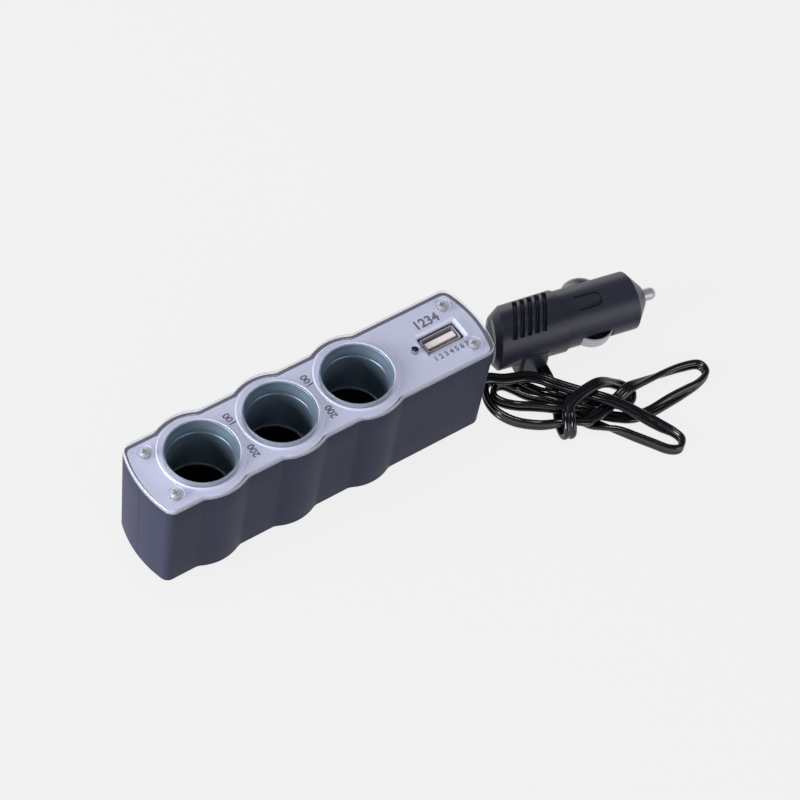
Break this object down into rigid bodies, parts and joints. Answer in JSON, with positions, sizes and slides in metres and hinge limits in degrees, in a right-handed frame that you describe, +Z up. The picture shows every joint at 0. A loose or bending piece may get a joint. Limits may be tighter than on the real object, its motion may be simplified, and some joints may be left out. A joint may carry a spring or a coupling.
{
  "type": "car power socket splitter",
  "caption": "Long shallow box with round accessory sockets and a USB port in its clear-covered top, and a flat twin lead hanked up to a fused plug.",
  "frame": {"origin": "middle of the housing's base", "axes": "+X along the row of sockets towards the USB end, +Z up out of the sockets"},
  "size_m": [0.2078, 0.0771, 0.0424],
  "materials": {
    "housing": "fine texture",
    "black_plastic": "satin",
    "face_plate": "brushed",
    "clear_cover": "clear polished plastic",
    "steel": "bright",
    "zinc": "plated",
    "brass": "plain",
    "board": "solder mask",
    "chip": "matt",
    "tongue": "satin",
    "coil": "ferrite",
    "sleeve": "shrink sleeve",
    "lamp": "tinted",
    "red_wire": "flexible",
    "black_wire": "flexible",
    "rubber": "matt",
    "cord": "glossy flexible",
    "plug": "satin",
    "fuse_glass": "clear"
  },
  "bodies": {
    "splitter": {"housing": "housing", "top_deck": "black_plastic", "face_plate": "face_plate", "clear_cover": "clear_cover", "cover_screws": "zinc", "socket_shell_1": "steel", "socket_shell_2": "steel", "socket_shell_3": "steel", "socket_cup_1": "black_plastic", "socket_cup_2": "black_plastic", "socket_cup_3": "black_plastic", "centre_contact_1": "zinc", "centre_contact_2": "zinc", "centre_contact_3": "zinc", "negative_bus": "zinc", "positive_bus": "brass", "usb_shell": "zinc", "usb_tongue": "tongue", "usb_contacts": "brass", "usb_board": "board", "board_screws": "zinc", "voltage_regulator": "chip", "inductor": "coil", "capacitors": "sleeve", "indicator_led": "lamp", "positive_lead": "red_wire", "negative_lead": "black_wire", "strain_relief": "rubber", "cord_lead": "cord", "cord_hank": "cord", "cord_tail": "cord", "plug_grip": "plug", "plug_barrel": "plug", "fuse_spring": "steel", "plug_terminal": "brass"},
    "tip": {"tip_pin": "zinc", "fuse_tube": "fuse_glass", "fuse_caps": "zinc"},
    "nose": {"nose_cap": "plug"},
    "left_contact": {"side_contact_left": "zinc"},
    "right_contact": {"side_contact_right": "zinc"}
  },
  "joints": [
    {"name": "tip_press", "type": "slide", "parent": "splitter", "child": "tip", "axis": [0.9816, -0.1908, 0], "range_m": [-0.0035, 0], "stiffness_N_per_m": 400, "springref_m": 0.002, "deforming": ["fuse_spring"]},
    {"name": "nose_unscrew", "type": "hinge", "parent": "splitter", "child": "nose", "pos_m": [0.13114, -0.00442, 0.011], "axis": [0.9816, -0.1908, 0], "range_deg": [0, 720]},
    {"name": "left_contact_press", "type": "slide", "parent": "splitter", "child": "left_contact", "axis": [-0.1873, -0.9636, -0.1908], "range_m": [0, 0.0018], "stiffness_N_per_m": 600},
    {"name": "right_contact_press", "type": "slide", "parent": "splitter", "child": "right_contact", "axis": [0.1873, 0.9636, 0.1908], "range_m": [0, 0.0018], "stiffness_N_per_m": 600}
  ]
}
